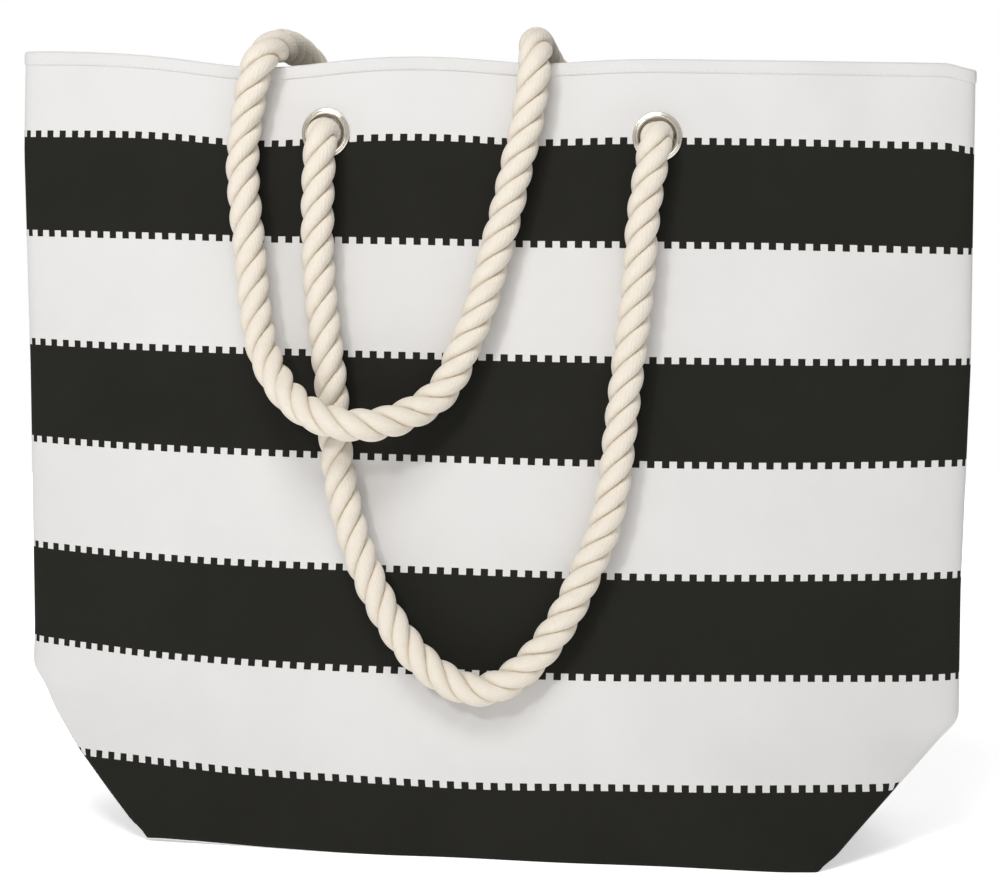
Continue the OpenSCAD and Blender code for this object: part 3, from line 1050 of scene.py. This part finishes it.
def revolve(name, profile, place, segments=96):
    """A closed ring from a closed outline of (radius, height) points."""
    profile = np.asarray(profile)
    w = np.linspace(0.0, 2 * math.pi, segments, endpoint=False)
    rings = np.stack([profile[None, :, 0] * np.cos(w)[:, None], profile[None, :, 0] * np.sin(w)[:, None],
                      np.repeat(profile[None, :, 1], segments, axis=0)], -1)
    sides = len(profile)
    a = np.arange(segments)[:, None] * sides + np.arange(sides)[None, :]
    b = np.roll(a, -1, axis=0)
    quads = np.stack([a, np.roll(a, -1, axis=1), np.roll(b, -1, axis=1), b], -1).reshape(-1, 4)
    made = make_object(name, [place @ Vector(p) for p in rings.reshape(-1, 3)], quads[:, ::-1], [NICKEL])
    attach(made, "bag")
    return made


def arc_points(centre, radius, start, end, count):
    return [(centre[0] + radius * math.cos(math.radians(t)), centre[1] + radius * math.sin(math.radians(t)))
            for t in np.linspace(start, end, count)]


def eyelet_profile():
    """A rolled inner lip and a rounded outer bead with a valley between them, then the barrel."""
    lip_r, bead_r = 0.00085, 0.0006
    lip = (BORE_R + lip_r, 0.00135)
    bead = (FLANGE_R - bead_r, 0.0007)
    inside = -(CANVAS_T + LAYER_GAP + LINING_T + 0.0014)
    points = arc_points(lip, lip_r, 180.0, -20.0, 14)
    points += arc_points(bead, bead_r, 150.0, -80.0, 12)
    points += [(BORE_R + 0.0007, 0.00005), (BORE_R + 0.0006, inside), (BORE_R, inside)]
    return points


def washer_profile():
    """A dished ring with rounded edges behind the lining."""
    top = -(CANVAS_T + LAYER_GAP + LINING_T + 0.0003)
    low = top - 0.0009
    inner, outer = BORE_R + 0.0009, FLANGE_R + 0.0004
    edge = 0.00042
    return (arc_points((outer - edge, (top + low) / 2), edge, 90.0, -90.0, 8)
            + arc_points((inner + edge, (top + low) / 2 - 0.0003), edge, -90.0, -270.0, 8))


def make_eyelets():
    for face, word in ((-1, "front"), (1, "back")):
        for side, hand in ((-1, "left"), (1, "right")):
            place = eyelet_matrix(side, face)
            ring = revolve(f"{word}_{hand}_eyelet_ring", eyelet_profile(), place)
            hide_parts(f"eyelet_{word}_{hand}")
            washer = revolve(f"{word}_{hand}_washer_ring", washer_profile(), place)
            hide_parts(f"washer_{word}_{hand}")


# ---- Stage and light ----

def make_stage():
    """A round pale floor under the bag."""
    turn = np.linspace(0.0, 2 * math.pi, 97)[:-1]
    radius = 1.6
    vertices = [(radius * math.cos(t), radius * math.sin(t), 0.0) for t in turn]
    faces = [tuple(range(len(vertices)))]
    floor = make_object("studio_floor", vertices, faces, [stage_material()])


def make_light(name, place, aim, size, power):
    data = bpy.data.lights.new(name, "AREA")
    data.shape = "DISK"
    data.size = size
    data.energy = power
    light = bpy.data.objects.new(name, data)
    light.location = place
    light.rotation_euler = (Vector(place) - Vector(aim)).to_track_quat("Z", "Y").to_euler()
    bpy.context.scene.collection.objects.link(light)


def make_lights():
    world = bpy.data.worlds.new("studio")
    world.use_nodes = True
    tree = world.node_tree
    background = tree.nodes["Background"]
    background.inputs["Color"].default_value = (1.0, 1.0, 1.0, 1.0)
    # The studio is seen as white, but it lights the bag less than that
    rays = tree.nodes.new("ShaderNodeLightPath")
    strength = tree.nodes.new("ShaderNodeMapRange")
    strength.inputs["To Min"].default_value = 0.26
    strength.inputs["To Max"].default_value = 1.0
    tree.links.new(rays.outputs["Is Camera Ray"], strength.inputs["Value"])
    tree.links.new(strength.outputs["Result"], background.inputs["Strength"])
    bpy.context.scene.world = world
    make_light("key", (-0.70, -1.85, 1.42), (0.0, 0.0, 0.30), 0.34, 13.2)
    make_light("top", (-0.10, -0.95, 1.50), (0.0, 0.0, 0.36), 0.7, 11.0)
    make_light("fill", (0.50, -2.50, 0.90), (0.0, 0.0, 0.20), 2.0, 3.5)
    make_light("back", (0.40, 2.30, 1.50), (0.0, 0.0, 0.20), 2.4, 24.0)
    bpy.context.scene.view_settings.view_transform = "Standard"


# ---- Build ----

make_camera()
make_ropes()
make_cloth()
make_base("base_canvas", "base_panel", inset=0.0002, low=0.0, thickness=CANVAS_T, material=BLACK_CANVAS)
make_base("base_lining", "lining_base", inset=0.0034, low=0.0022, thickness=0.0006, material=LINING_CLOTH)
make_eyelets()
make_stage()
make_lights()
